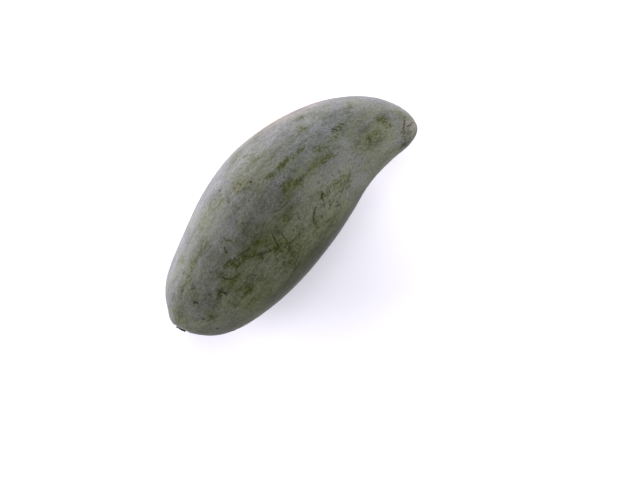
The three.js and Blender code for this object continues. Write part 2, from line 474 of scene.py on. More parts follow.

# where the bloom lies thick and pale (above 0) or thin all over (below 0); the strokes along the belly edge are
# partly painted shade, bare dark skin where the edge lies in shadow
zonesAndPaintedShade = [
    # partly painted shade: bare and dark along the belly edge
    (3.6, -0.32, (-61.6, -31.4), (-47.6, -35.4), (-29.7, -36.4), (-7.7, -34.4), (10.2, -31.4),
        (24.2, -27.4)),
    (5.0, -0.26, (2.2, 0.5), (12.2, 1.5)),
    (4.0, -0.24, (21.2, 4.5), (30.1, 4.5)),
    (4.5, -0.28, (-44.6, -8.5), (-43.6, -13.5)),
    (5.0, -0.20, (-21.7, -4.5), (-15.7, -5.5)),
    (5.0, 0.30, (-13.7, 21.4), (-14.7, 14.4), (-19.7, 12.4)),
    (4.0, 0.26, (3.2, 12.4), (8.2, 11.5)),
    (4.0, 0.24, (20.2, 17.4), (24.2, 16.4)),
    (3.0, 0.20, (44.1, 12.4), (51.1, 11.5)),
    (5.0, 0.14, (-63.6, -4.5), (-56.6, -9.5)),
    (4.0, 0.20, (-61.6, -27.4), (-44.6, -24.4)),
    (3.0, 0.26, (11.2, -19.5)),
    (4.5, 0.20, (50.1, -11.5), (57.1, -8.5), (62, -13.5)),
    (3.0, 0.20, (-19.7, -13.5), (-19.7, -22.4)),
    (4.0, 0.14, (-73.5, 3.5), (-67.6, 2.5)),
    # partly painted shade: bare and dark along the belly edge
    (4.2, -0.30, (-19.7, -34.4), (0.2, -31.4), (20.2, -26.4)),
    (4.0, -0.18, (-29.7, 14.4), (-24.7, 17.4)),
    (3.5, -0.14, (-14.7, 9.5)),
    (3.0, -0.20, (5.2, 1.5), (9.2, 0.5)),
    (3.0, -0.16, (-33.7, 2.5)),
    (3.0, 0.16, (-4.8, 7.5)),
    (3.0, 0.18, (14.2, 9.5), (18.2, 10.5)),
    (3.0, 0.14, (46.1, 12.4)),
    (7.0, 0.34, (21.2, -1), (32.1, -3.5), (42.1, -9.5), (40.1, -14.5)),
    (5.0, 0.22, (12.2, -5.5), (18.2, -3.5)),
    (4.5, 0.20, (47.1, 2.1), (38.1, -0.5)),
    (5.0, 0.18, (-30.7, 8.5), (-35.7, 6.5)),
    (2.6, 0.22, (-32.2, 0.1), (-33.7, -2.9)),
    (6.0, 0.14, (-49.6, 13.4), (-61.6, 8.5)),
    (4.5, 0.16, (64, -9.5), (66, -6.5)),
    (6.0, 0.15, (72, 7.5), (58.1, 19.4)),
    (4.5, 0.16, (3.2, -12.5), (7.2, -10.5)),
    (5.0, 0.14, (-57.6, -24.4), (-61.6, -27.4)),
    (9.0, -0.16, (-27.7, -8.5), (-15.7, -10.5)),
    (8.0, -0.04, (-37.7, -14.5), (-45.6, -10.5)),
    # partly painted shade: bare and dark along the belly edge
    (6.0, -0.16, (-7.7, -30.4), (8.2, -29.4)),
    (8.0, -0.06, (-43.6, -24.4), (-23.7, -28.4)),
    (6.0, -0.05, (57.1, -3.5), (50.1, -6.5)),
    (7.0, -0.06, (-65.6, -6.5), (-59.6, -0.5)),
    (2.2, -0.26, (72.4, -12), (70.8, -17.4)),
    (1.6, -0.20, (74.5, -14.6)),
]

# where the bloom is bluish grey (above 0) or olive grey (below 0)
chills = [
    (13.0, -0.45, (-29.7, -14.5), (-11.7, -14.5), (4.2, -22.4)),
    (8.0, -0.25, (-39.6, -26.4), (-9.7, -28.4), (10.2, -26.4)),
    (7.0, -0.15, (22.2, -6.5), (34.1, -9.5)),
    (6.0, -0.20, (60, -8.5), (70, -6.5)),
    (9.0, 0.35, (20.2, 20.4), (28.1, 16.4)),
    (6.0, 0.30, (-23.7, 12.4), (-11.7, 17.4)),
    (6, 0.36, (-29.7, -1.5), (-13.7, 0.5), (3.2, 2.5)),
    # part of the painted shade along the belly edge: olive there
    (4.0, -0.55, (-19.7, -34.4), (0.2, -31.4), (20.2, -26.4), (34.1, -22.4)),
    (3.4, 0.40, (40.1, 13.4), (46.1, 13.4)),
    (2.6, 0.40, (-32.7, -1.5), (-30.7, -3.5)),
    (2.4, 0.40, (-32.7, -14), (-30.7, -13)),
    (1.8, 0.60, (68, -14.9)),
    (2.2, 0.45, (73, -2.1)),
    (3.0, 0.30, (-13.7, 2.5), (-9.7, 1.5)),
    (2.4, 0.50, (72.4, -12), (70.8, -16.8)),
    (4, 0.18, (-44, 2), (-40, -4)),
    (4, 0.12, (-16, 2), (-12, -2)),
    (4.5, 0.1, (-6, 2), (4, 2)),
    (3.5, 0.40, (32, 6), (38, 4)),
    (6.0, 0.18, (0, 25), (14, 24)),
    (5.0, 0.25, (-50, 3), (-40, 14)),
    (4.5, -0.55, (-62, -23), (-46, -24)),
    (5.5, -0.60, (-14, -12), (-8, -20), (-8, -28)),
    (5.0, -0.45, (2, -16), (6, -26)),
    (4.0, -0.35, (52, 4), (55, -3)),
    (4.0, -0.30, (66, -8), (70, -4)),
    (3.0, -0.30, (-22, 7)),
    (3.0, -0.30, (0, 14)),
    (2.5, -0.30, (12, 10)),
    (3.5, -0.30, (-56, -4), (-50, -6)),
    (6.0, -0.3, (-29.7, -22.4), (-9.7, -24.4), (5.2, -22.4)),
    (4.0, -0.3, (9.2, -15.5), (8.2, -19.5)),
    (5.0, -0.25, (20.2, -10.5), (34.1, -11.5)),
    (4.5, -0.3, (40.1, -11.5), (48.1, -13.5)),
    (4.0, -0.3, (-41.6, -20.4)),
    (3.5, -0.35, (-19.7, -8.5)),
    (3.0, 0.35, (-43.6, -6.5), (-45.6, -3.5)),
    (5.0, -0.1, (-39.6, 0.5), (-9.7, -0.5)),
    (4.0, -0.25, (-43.6, -9.5), (-33.7, -11.5)),
    (4.0, -0.25, (-39.6, -27.4), (-19.7, -29.4), (0.2, -28.4), (12.2, -26.4)),
    # part of the painted shade along the belly edge at the stalk end: olive there
    (3.0, -0.2, (-75.5, -22.4), (-65.6, -28.4), (-49.6, -34.4)),
    (4.5, -0.32, (-20.7, 5.5), (-20.7, 0.5)),
    (5.0, -0.22, (0.2, 8.5), (-3.8, 4.5)),
    (2.6, -0.4, (24.2, 1.5)),
    (2.4, -0.4, (-34.7, -2.5)),
    (3.5, 0.35, (-47.6, -12.5), (-45.6, -15.5)),
    (3.0, 0.25, (-11.7, -6.5)),
    (3.5, 0.18, (14.2, -2.5), (6.2, -12.5), (0.2, -16.5)),
    (2.4, 0.2, (30.1, 5.5), (34.1, 5.5)),
    (3.5, -0.2, (43.1, 10.5), (48.1, 9.5)),
    (3.5, -0.22, (68, -2.5), (64, -9.5)),
    (3.0, -0.25, (-44.6, 4.5), (-45.6, 0.5)),
    (4.5, -0.3, (-7.7, -22.4), (8.2, -24.4), (24.2, -22.4)),
    (2.5, -0.3, (40.1, -19.5), (58.1, -17.5)),
    (5.0, -0.25, (58.1, 14.4), (68, 5.5)),
]

# where the skin is paler (above 0) or darker (below 0) without a change of colour; some strokes along the belly
# edge are painted shade
tonesAndPaintedShade = [
    (6.5, -0.13, (-44, 2), (-20, 2), (2, 1)),
    # painted shadow: darker along the belly edge, where a neighbouring fruit would shade it
    (4.5, -0.36, (-34, -34.5), (-20, -33.5), (-8, -31.5), (6, -30), (20, -27), (34, -23.5)),
    (3.5, -0.25, (34, -23.5), (46, -20.5)),
    (5.0, 0.12, (-70, -20), (-64, -24)),
    (3.5, 0.14, (-79, -4), (-77, -11)),
    (4.5, 0.08, (54, -3), (62, -8)),
    (4.0, 0.10, (14, -8), (20, -5)),
    (3.5, -0.09, (44, 8), (52, 8)),
    (5.0, -0.08, (54, 20), (66, 9)),
    (5.0, -0.12, (-8, -22), (4, -23)),
    (4.0, -0.12, (40, -14), (44, -15)),
    (4.0, -0.08, (36.1, -14.5), (48.1, -12.5)),
    (6.0, 0.05, (-44.6, -22.4), (-19.7, -24.4)),
    (6.0, 0.12, (-49.6, -15.5), (-29.7, -18.5), (-11.7, -17.5), (8.2, -14.5)),
    (4.0, 0.06, (-34.7, -14.5), (-21.7, -16.5)),
    (6.0, 0.09, (20.2, -9.5), (38.1, -10.5)),
    (5.0, 0.06, (-61.6, -16.5), (-49.6, -19.5)),
    (4.5, -0.09, (-41.6, -2.5), (-25.7, -2.5), (-11.7, -1.5)),
    (4.0, -0.06, (-31.7, -6.5), (-27.7, -5.5)),
    (5.0, 0.06, (30.1, 7.5), (42.1, 3.5)),
    # painted shade: darker along the belly edge at the stalk end
    (2.2, -0.12, (-75.5, -22.4), (-65.6, -28.4), (-55.6, -33.4)),
    (2, -0.08, (40.1, -22.4), (50.1, -20.2), (66, -19.3), (77, -16.5)),
    (4.0, 0.11, (-19.7, 19.4), (-18.7, 13.4), (-11.7, 18.4)),
    (3.0, 0.12, (4.2, 14.4), (20.2, 15.4)),
    (3.5, 0.07, (14.2, 23.4), (20.2, 22.4)),
    (4.0, -0.1, (-21.7, 2.5), (-17.7, -2.5)),
    (4.0, -0.08, (-4.8, 3.5), (5.2, 1.5)),
    (3.0, 0.12, (-41.6, -2.5)),
    (3.5, 0.12, (-52.6, -22.4)),
    (2.6, 0.1, (-39.6, -20.4)),
    (3.0, 0.09, (-19.7, -12.5), (-13.7, -15.5)),
    (2.6, 0.12, (-0.8, -16.5)),
    (3.0, 0.12, (-74.5, -5.5)),
    (3.0, -0.12, (-71.5, -12.5)),
    (3.0, -0.12, (-4.8, 19.4)),
    (3.0, 0.14, (78, -1.5), (77, 3.5)),
    (4.0, 0.1, (33.1, 20.4), (42.1, 26.4)),
    (5.0, 0.06, (62, -2.5)),
    (4.0, 0.11, (-71.5, -15.5), (-64.6, -21.4)),
    (5.0, 0.08, (62, -4.5), (71, -9.5)),
    (5.0, 0.06, (48.1, -7.5), (58.1, -12.5)),
    # partly painted shade: darker just in from the belly edge
    (4.0, -0.13, (-39.6, -29.4), (-19.7, -29.9), (-1.8, -27.4)),
    (3.0, -0.05, (-15.7, -24.4), (-27.7, -24.4)),
    (3.5, 0.05, (-45.6, 9.5), (-53.6, 8.5)),
    (4.0, 0.06, (36.1, 15.4), (48.1, 12.4)),
    (3.0, 0.08, (-0.8, 33.4), (6.2, 34.4)),
]

# where the bloom turns to blue-green (above 0) or to moss green (below 0)
tints = [
    (8.0, 1.0, (24.2, 14.4), (37.1, 14.4), (50.1, 9.5)),
    (6.0, 0.5, (6.2, 11.5), (18.2, 7.5)),
    (6.0, -1.0, (-13.7, -14.5), (-8.7, -21.4), (-0.8, -26.4), (8.2, -24.4)),
    (5.0, -0.6, (-61.6, -25.4), (-45.6, -25.4), (-29.7, -26.4)),
    (3.5, -0.9, (9.2, -21.4), (24.2, -22.4)),
    (4.0, -0.6, (-21.7, 4.5), (-17.7, 8.5)),
    (4.0, -0.4, (2.2, 9.5), (10.2, 4.5)),
    # part of the painted shade along the belly edge: moss green there
    (3.5, -0.9, (-45.6, -29.4), (-29.7, -31.4), (-9.7, -31.4), (8.2, -29.4)),
    (4.0, -0.5, (-41.6, -20.4)),
    (4.0, -0.35, (52.1, 5.5), (54.1, -4.5)),
    (3.5, -0.35, (66, -3.5), (66, -9.5)),
    (3.5, -0.3, (-46.6, 2.5)),
    (5.0, -0.25, (58.1, 14.4), (68, 5.5)),
    (2.5, -0.6, (-11.7, 21.4), (-8.7, 20.4)),
]

# how much stronger or weaker the fine grain is
grits = [
    (11.0, 0.45, (18.2, -12.5), (42.1, -14.5)),
    (8.0, 0.15, (2.2, 5.5), (34.1, 7.5)),
    (6.0, 0.25, (60, -12.5), (70, -12.5)),
    (12.0, -0.22, (-43.6, 15.4), (-29.7, 21.4)),
    (8.0, 0.10, (-63.6, -24.4), (-39.6, -30.4)),
]

# tan and corky smears
tans = [
    (1.8, 0.4, (-11.7, 21.4), (-8.2, 21.4), (-5.3, 20.4)),
    (0.8, 0.8, (-6.3, -26.2)),
    (0.8, 0.6, (2.2, -25)),
    (0.7, 0.5, (-24.7, -24.2), (-23.5, -25.2)),
    (0.9, 0.8, (76.5, -7.9), (73.2, -10.9)),
    (0.9, 0.8, (75.4, -11.3), (77, -11.9), (78.6, -11.3)),
    (1.3, 0.35, (78, -9)),
    (1.1, 0.5, (75.4, -15.3), (77.4, -14.9)),
    (1.3, 0.6, (70.8, -17.5)),
    (1.1, 0.55, (67.6, -3.1), (67.8, -4.9)),
    (1.3, 0.4, (-52.6, 6.1)),
    (1.6, 0.3, (72.4, -12.5), (72.6, -16.5)),
]

# thin dark marks
scratches = [
    (0.42, 0.88, (-12.4, -8.4), (-13.2, -10.9), (-13.9, -14.1), (-14.6, -16.3)),
    (0.45, 0.53, (-31.7, -6.1), (-29.1, -9.5), (-25.1, -11.7), (-22.3, -12.8), (-18.1, -14.1),
        (-15.1, -15.5)),
    (0.48, 0.8, (-15.1, -17.9), (-14.5, -17.8)),
    (0.5, 0.4, (-15.2, -19.8)),
    (0.38, 0.66, (-8.6, -10.8), (-8.9, -14.1), (-9.3, -17.5), (-10.3, -19.1)),
    (0.55, 0.8, (-8.6, -17.4)),
    (0.60, 0.4, (-10.1, -18.9), (-11.7, -21.8)),
    (0.55, 0.72, (-24, -14.3)),
    (0.5, 0.56, (-32.9, -5.4), (-29.7, -5.8), (-25.9, -6.4)),
    (0.5, 0.7, (-46, -8.9), (-45.2, -10.5), (-44.2, -11.5), (-42.8, -12.3)),
    (0.45, 0.56, (-41.4, -12.8), (-39.2, -12.9), (-37.1, -13.1)),
    (0.50, 1.1, (-36.2, -0.7), (-36.1, 0.7), (-35.4, 2.3)),
    (0.42, 0.6, (-32.9, 4.7), (-31.3, 3.5), (-30.3, 2.5)),
    (0.48, 0.9, (-53.6, -14.1), (-52, -13.2), (-50.6, -14.5)),
    (0.50, 0.9, (-50.6, -14.5), (-49.8, -16.1), (-50.6, -16.6)),
    (0.50, 0.6, (-52, -11.3), (-51.2, -12.1)),
    (0.5, 0.5, (-40.2, -20.8), (-39.2, -19.5), (-37.8, -17.9), (-36.2, -16.8)),
    (0.45, 0.46, (-36.2, -16.8), (-34.5, -16.7), (-33.1, -17.7), (-32.4, -18.9)),
    (0.36, 0.32, (-35.9, -19), (-34.3, -18.1)),
    (0.7, 0.4, (-43.6, -19.1), (-42.6, -19.5)),
    (0.65, 0.6, (-45, -22.6)),
    (0.36, 0.32, (-32.1, -16.9), (-29.7, -15.5), (-26.5, -15.2), (-25.4, -16.2)),
    (0.36, 0.28, (-28.3, -16.5), (-28.3, -19.5)),
    (0.50, 1, (-65.6, -9.3), (-64.8, -9.1), (-64.2, -10.3)),
    (0.40, 0.5, (-63.1, -9)),
    (0.60, 0.6, (-61.9, -2.9), (-60.3, -3.5)),
    (0.55, 0.75, (-66.8, -1.1), (-65.6, -0.5)),
    (0.42, 0.7, (-60.1, 5.8), (-58.9, 6.3)),
    (0.45, 0.7, (-67.6, -18), (-66.8, -19)),
    (0.48, 0.7, (-65.4, -26.7), (-64.6, -26.9)),
    (0.36, 0.45, (-44.6, 10.3), (-43.1, 10.7)),
    (0.36, 0.45, (-41.4, 6.9), (-39.8, 7.5)),
    (0.60, 0.6, (-49.1, -2.7)),
    (0.75, 2.0, (-9.1, 22.6)),
    (0.62, 1.15, (-8.5, 21.6)),
    (0.70, 2.0, (-3.7, 19)),
    (0.45, 0.8, (-3.9, 17.5)),
    (0.45, 0.7, (-20.7, 5.9), (-19.9, 5.5)),
    (0.45, 0.6, (-10.3, 6.4)),
    (0.38, 0.66, (-5.4, 0.3), (-4.4, -0.5), (-2.8, -0.9), (-1.5, -1.3)),
    (0.38, 0.65, (-0.2, -1.4), (2.2, -1.4), (4.4, -0.9)),
    (0.42, 0.57, (7.2, -17.7), (8.7, -15.5), (10.7, -13.9), (13.4, -12.3)),
    (0.48, 0.68, (2.8, -11.3), (3.2, -10.3)),
    (0.60, 0.5, (-3, -13.5)),
    (0.38, 0.64, (21.1, -7.6), (20.1, -8.5)),
    (0.6, 0.96, (20, -9.1), (19.3, -10)),
    (0.42, 0.72, (18.8, -11), (18.2, -12.5)),
    (0.45, 0.6, (17.9, -13.3), (17.4, -14.4)),
    (0.42, 1, (23.9, -10.6), (23.3, -11.3)),
    (0.50, 0.9, (26.3, -9.3)),
    (0.38, 0.7, (24.4, -8.1)),
    (0.36, 0.5, (22.6, -10.5), (21.9, -11.8)),
    (0.50, 0.8, (27.6, -14.2)),
    (0.36, 0.48, (30, -5.1), (30.3, -6.3)),
    (0.42, 0.48, (34.4, -5.5), (33.5, -7.1)),
    (0.36, 0.7, (37.3, -10.7), (36.6, -11.5)),
    (0.55, 1, (19.6, -16.3)),
    (0.48, 1.1, (21.5, -18.9), (23.2, -19)),
    (0.50, 0.5, (24.4, -16.4)),
    (0.50, 0.5, (26, -16.2)),
    (0.42, 0.6, (30.5, -15.9), (31.7, -15), (33.5, -15.5)),
    (0.60, 0.8, (10.2, -19.1)),
    (0.50, 0.5, (15.6, -12.9)),
    (0.40, 0.45, (14.6, -13.7), (16.8, -14.8)),
    (0.85, 1.2, (12.2, -28)),
    (0.75, 0.35, (22.4, -3.4)),
    (0.38, 0.65, (44.3, 11.8), (45.3, 10.7)),
    (0.40, 0.80, (45.6, 12.5), (47, 10.5)),
    (0.38, 0.60, (47.7, 12.4), (49, 11)),
    (0.40, 0.75, (50, 12.1), (51.5, 10.6)),
    (0.50, 0.8, (52.8, 10.6)),
    (0.50, 0.7, (44, 8.3), (44.6, 7.7)),
    (0.42, 0.6, (45.7, 8.9), (46.2, 8.5)),
    (0.50, 0.5, (49, 8.7)),
    (0.65, 0.6, (56.5, -3.1), (56.1, -5)),
    (0.55, 0.5, (57.5, -2.1)),
    (0.45, 0.8, (66.4, -5.1)),
    (0.45, 0.7, (68.8, -5.5), (69.4, -4.9)),
    (0.55, 0.9, (77.4, -6.9)),
    (0.42, 1, (76.5, -7.9), (75, -9.3), (74.2, -10.2), (73.2, -10.9)),
    (0.42, 0.95, (75.4, -11.3), (77, -11.8), (78.6, -11.3)),
    (0.62, 0.85, (72.6, -12.3), (71.9, -13)),
    (0.40, 0.7, (70.6, -15.3), (70.5, -15.9)),
    (0.80, 0.55, (70.8, -17.3), (71.2, -17.9)),
    (1, 1, (67.4, -17.1), (68.8, -17.7)),
    (0.55, 0.7, (66, -17.5)),
    (0.70, 0.45, (73.4, -14.8), (75, -14.5)),
    (0.45, 0.6, (71, -11.5), (71.6, -12.3)),
    (0.5, 0.6, (73.2, -13.7), (73, -14.5)),
    (0.55, 0.55, (71.6, -14.8)),
    (0.5, 0.65, (72.8, -16.5), (72.2, -17.1)),
    (0.5, 0.6, (69.4, -16.4), (69, -17.1)),
    (0.5, 0.5, (74.6, -13.1)),
    (0.42, 0.5, (70.2, -13.7)),
]

unseen = {
    "seed": 5,
    "rubs": 46,               # rubbed patches on the rest of the skin
    "zonesAndPaintedShade": 12,
    "halfWide": (1.0, 3.4),   # in mm; a pair gives the least and the most, unless it says otherwise
    "strength": (0.35, 1.0),
    "stretch": 0.36,          # the smaller, the longer they are along the fruit
    "zoneSize": 3.2,          # how much wider a zone is than a rub
    "zoneShift": 0.6,         # taken off its strength, so that some are paler and some barer
    "scratches": 64,
    "scratchWide": (0.36, 0.62),
    "scratchLong": (0.2, 3.2),
    "scratchStrength": (0.4, 0.8),
    "scratchTurn": (0.35, 0.7),     # mean and spread, in radians
    "scratchBend": (0.0, 0.8),
    "scratchReach": 6 * mm,   # how far round a scratch the skin is looked at
}

# heights over the middle plane at which the strokes give way to what is laid by chance
cheek = {
    "fade": (-4 * mm, 3 * mm),
    "wideFade": (-8 * mm, 4 * mm),
    "drawnFrom": -2 * mm,
    "chanceTo": 4 * mm,
}

# bands of paler bloom and painted highlight: angle from the back and width, in radians, and strength. The band
# down the back is a painted highlight, in place of a sheen on the lit back edge; the other two make a band
# above the belly and the stalk end paler
bloomAndLightBands = {
    "back": (0.45, 0.42, 1.0),
    "belly": (2.12, 0.46, 0.52),
    "stalk": (2.3, 0.6, 0.5),
}
backFrom = (0.02, 0.15)       # where along the fruit the first one comes in
stalkAt = (0.13, 0.12)        # middle and width along the fruit of the last one
thickest = 1.3                # the most that the bands add up to
blushGirth = 0.40             # how far round the girth the blush goes, in radians
blushAt = (0.66, 0.13)        # its middle and width along the fruit

farOff = 9.0                  # what a pen reads where no mark is near, in half-widths
penReach = 5.0                # how far from a mark its pen is kept


def strokeValue(points, halfWide, strength, line):
    # how much a stroke tells at each point: its strength on it, fading out at about halfWide
    line = np.array(line, float) * mm
    nearest = np.linalg.norm(points - line[0], axis=1)
    for a, b in zip(line[:-1], line[1:]):
        way = b - a
        at = np.clip(((points - a) @ way) / (way @ way), 0, 1)
        nearest = np.minimum(nearest, np.linalg.norm(points - a - at[:, None] * way, axis=1))
    return strength * bell(nearest, 0, halfWide * mm)


def strokeSum(points, strokes):
    return sum(strokeValue(points, halfWide, strength, line) for halfWide, strength, *line in strokes)


def keepValue(mesh, name, values):
    held = mesh.attributes.new(name, "FLOAT", "POINT")
    held.data.foreach_set("value", values.astype(np.float32))


def keepVector(mesh, name, values):
    held = mesh.attributes.new(name, "FLOAT_VECTOR", "POINT")
    held.data.foreach_set("vector", values.astype(np.float32).ravel())


def asSeen(points):
    # a point high on the cheek looks further from the middle of the view than it is
    aim = np.array([shot["aimX"], shot["aimY"]])
    closer = shot["distance"] - (points[:, 2:] - middleZ)
    return aim + (points[:, :2] - aim) * shot["distance"] / closer


def drawPen(pen, penStrength, at, flat, halfWide, strength, line):
    # for the points numbered in at, laid flat as in flat: the way across and past a mark, in half-widths
    halfWide = halfWide * mm
    line = np.array(line if len(line) > 1 else [line[0], np.add(line[0], (0.1, 0))], float) * mm
    across, past, near = (np.full(len(flat), farOff) for part in range(3))
    for k, (a, b) in enumerate(zip(line[:-1], line[1:])):
        size = np.linalg.norm(b - a)
        way = (b - a) / size
        run = (flat - a) @ way
        aside = (flat - a) @ np.array([-way[1], way[0]])
        before = -run if k == 0 else np.maximum(-run, 0)
        after = run - size if k == len(line) - 2 else np.maximum(run - size, 0)
        over = np.maximum(before, after)
        away = np.hypot(aside, np.maximum(over, 0)) / halfWide
        closer = away < near
        across[closer] = aside[closer] / halfWide
        past[closer] = over[closer] / halfWide
        near[closer] = away[closer]
    closer = near < np.minimum(pen[at, 2], penReach)
    pen[at[closer]] = np.stack([across, past, near], 1)[closer]
    penStrength[at[closer]] = strength


def rubByChance(low, chance):
    # rubs and zones for the skin that the lists don't cover, laid along the grain
    otherRubs = np.zeros(len(grain))
    otherZone = np.zeros(len(grain))
    squeeze = np.array([unseen["stretch"], 1, 1])
    for k in range(unseen["rubs"] + unseen["zonesAndPaintedShade"]):
        away = np.linalg.norm((grain - grain[chance.choice(low)]) * squeeze, axis=1)
        halfWide = chance.uniform(*unseen["halfWide"]) * mm
        strength = chance.uniform(*unseen["strength"])
        if k < unseen["rubs"]:
            otherRubs = np.maximum(otherRubs, strength * bell(away, 0, halfWide))
        else:
            otherZone += (strength - unseen["zoneShift"]) * bell(away, 0, unseen["zoneSize"] * halfWide)
    return otherRubs, otherZone


def lineByChance(chance):
    # four points of a scratch that bends one way
    turn = chance.normal(*unseen["scratchTurn"])
    bend = chance.normal(*unseen["scratchBend"])
    size = chance.uniform(*unseen["scratchLong"])
    line = [(0, 0)]
    for j in range(3):
        x, y = line[-1]
        heading = turn + j * bend
        line.append((x + size / 2 * math.cos(heading), y + size / 2 * math.sin(heading)))
    return line


def drawAllMarks(mesh, points, low, chance):
    # marks, first those of the upper cheek, then others by chance, each laid flat where it lies; they take
    # turns in two layers, so that marks side by side stay clear of each other
    pens = [(np.full((len(points), 3), farOff), np.zeros(len(points))) for layer in range(2)]
    onTop = np.flatnonzero(points[:, 2] > middleZ + cheek["drawnFrom"])
    flat = asSeen(points[onTop])
    for k, (halfWide, strength, *line) in enumerate(scratches):
        drawPen(*pens[k % 2], onTop, flat, halfWide, strength, line)
    normals = readNormals(mesh)
    for k in range(unseen["scratches"]):
        here = chance.choice(low)
        reach = points - points[here]
        close = np.linalg.norm(reach, axis=1) < unseen["scratchReach"]
        near = np.flatnonzero(close & (points[:, 2] < middleZ + unseen["scratchReach"]))
        ahead = np.cross(normals[here], (0, 1, 0.3))        # about along the fruit
        ahead /= np.linalg.norm(ahead)
        aside = np.cross(normals[here], ahead)
        laid = reach[near] @ np.stack([ahead, aside], 1)
        line = lineByChance(chance)
        halfWide = chance.uniform(*unseen["scratchWide"])
        strength = chance.uniform(*unseen["scratchStrength"])
        drawPen(*pens[k % 2], near, laid, halfWide, strength, line)
    for name, (pen, penStrength) in zip(("first", "second"), pens):
        keepVector(mesh, name + "Pen", pen)
        keepValue(mesh, name + "Strength", penStrength)


def markFruit(skin):
    mesh = skin.data
    points = readPoints(mesh)
    flat = asSeen(points)
    upper = eased(points[:, 2] - middleZ, *cheek["fade"])
    wideUpper = eased(points[:, 2] - middleZ, *cheek["wideFade"])
    low = np.flatnonzero(points[:, 2] < middleZ + cheek["chanceTo"])
    chance = np.random.default_rng(unseen["seed"])
    otherRubs, otherZone = rubByChance(low, chance)
    drawAllMarks(mesh, points, low, chance)

    rubbed = np.zeros(len(points))
    for halfWide, strength, *line in rubs:
        rubbed = np.maximum(rubbed, strokeValue(flat, halfWide, strength, line))
    keepValue(mesh, "rubbed", rubbed * upper + otherRubs * (1 - upper))
    keepValue(mesh, "zoneAndPaintedShade", strokeSum(flat, zonesAndPaintedShade) * wideUpper + otherZone * (1 - upper))
    keepValue(mesh, "chill", 0.5 * np.cos(girth) + wideUpper * strokeSum(flat, chills))
    keepValue(mesh, "toneAndPaintedShade", 1 + wideUpper * strokeSum(flat, tonesAndPaintedShade))
    keepValue(mesh, "tint", upper * strokeSum(flat, tints))
    keepValue(mesh, "grit", 1 + upper * strokeSum(flat, grits))
    keepValue(mesh, "tan", upper * strokeSum(flat, tans))
    keepVector(mesh, "grain", grain)

    # painted highlight: the skin is made paler down the lit back edge, in place of a sheen; it is also paler in
    # a band above the belly and near the stalk
    back, belly, stalk = (
        strength * bell(abs(girth), middle, wide) for middle, wide, strength in bloomAndLightBands.values())
    bloomAndPaintedLight = back * eased(along, *backFrom) + belly + stalk * bell(along, *stalkAt)
    keepValue(mesh, "bloomAndPaintedLight", np.clip(bloomAndPaintedLight, 0, thickest))
    keepValue(mesh, "blush", bell(girth, 0, blushGirth) * bell(along, *blushAt))


markFruit(skin)
print("markings laid:", len(rubs) + unseen["rubs"], "rubs and", len(scratches), "scratches")


peelLook = {
    "deepGreen": (0.022, 0.026, 0.006, 1),
    "olive": (0.047, 0.052, 0.014, 1),
    "rubbed": (0.050, 0.057, 0.015, 1),
    "bloomCool": (0.116, 0.116, 0.127, 1),
    "bloomWarm": (0.104, 0.109, 0.081, 1),
    "paleBloomAndLight": (1.36, 1.36, 1.42, 1),      # how much paler and bluer the skin is under the bloom bands and the painted highlight
    "teal": (0.955, 1.0, 1.0, 1),        # what it is multiplied by where it turns to blue-green
    "moss": (0.98, 1.0, 0.78, 1),        # and to moss green
    "blush": (0.24, 0.160, 0.140, 1),
    "cork": (0.108, 0.092, 0.058, 1),
    "lip": (0.29, 0.26, 0.25, 1),
    "scratch": (0.014, 0.017, 0.006, 1),
    "oldScratch": (0.026, 0.018, 0.013, 1),
    # name: squeeze along the fruit, scale, detail, roughness, distortion
    "noises": {
        "broad": (0.50, 30, 2, 0.55, 0.0),
        "streaks": (0.20, 330, 4, 0.60, 0.5),
        "fine": (0.72, 900, 4, 0.70, 0.3),
        "drift": (0.55, 85, 5, 0.60, 0.6),
        "curl": (0.60, 210, 3, 0.50, 1.6),
    },
    "cover": 0.60,            # how much of the skin the bloom hides
    # how far each noise moves that
    "coverSwings": {"broad": 0.5, "patches": 1.05, "streaks": 0.72, "fine": 0.85, "dust": 0.5},
    "rubDepth": 1.05,         # how much of the bloom a rub takes off
    "wispDepth": 0.28,        # and a thin wandering line
    "bloomAndLightDepth": 0.10,        # how much the bloom bands and the painted highlight add to the cover
    "blushShare": 0.62,
    "speckScale": 230.0,      # the higher, the more and the smaller
    "speckReach": 0.16,       # how large they grow in their cell
    "speckShare": 0.6,
    "poreScale": 520.0,
    "poreShare": 0.30,
    # worn skin at the tip and the pale lip round the stalk: how uneven they are, how far from that point they
    # start and are full, strength, colour
    "wornEnds": {
        "tip": (6 * mm, 8.5 * mm, 4.5 * mm, 0.22, "cork"),
        "rimCentre": (3 * mm, 7.0 * mm, 4.9 * mm, 0.70, "lip"),
    },
    "roughness": (0.44, 0.68),      # of bare skin and of bloom
    "ridge": 0.25 * mm,       # height of the bump
    # the scratches, in half-widths: how far noise moves their sides and their ends, and where a line fades
    "waver": 1.7,
    "overrun": 1.4,
    "penEdge": (1.5, 0.2),
    "penEnd": (2.6, 1.7),
    "penFade": (0.60, 1.40),  # how faint and how dark noise makes them by turns
}


def newGroup(name, inputs, outputs):
    group = bpy.data.node_groups.new(name, "ShaderNodeTree")
    for label, kind in inputs:
        group.interface.new_socket(name=label, in_out="INPUT", socket_type="NodeSocket" + kind)
    for label, kind in outputs:
        group.interface.new_socket(name=label, in_out="OUTPUT", socket_type="NodeSocket" + kind)
    start = group.nodes.new("NodeGroupInput")
    end = group.nodes.new("NodeGroupOutput")
    return group, start, end


def addGroup(tree, group, sockets):
    made = tree.nodes.new("ShaderNodeGroup")
    made.node_tree = group
    return fillInputs(tree, made, sockets).outputs[0]


def readMark(tree, name, output="Fac"):
    return addNode(tree, "Attribute", attribute_name=name).outputs[output]


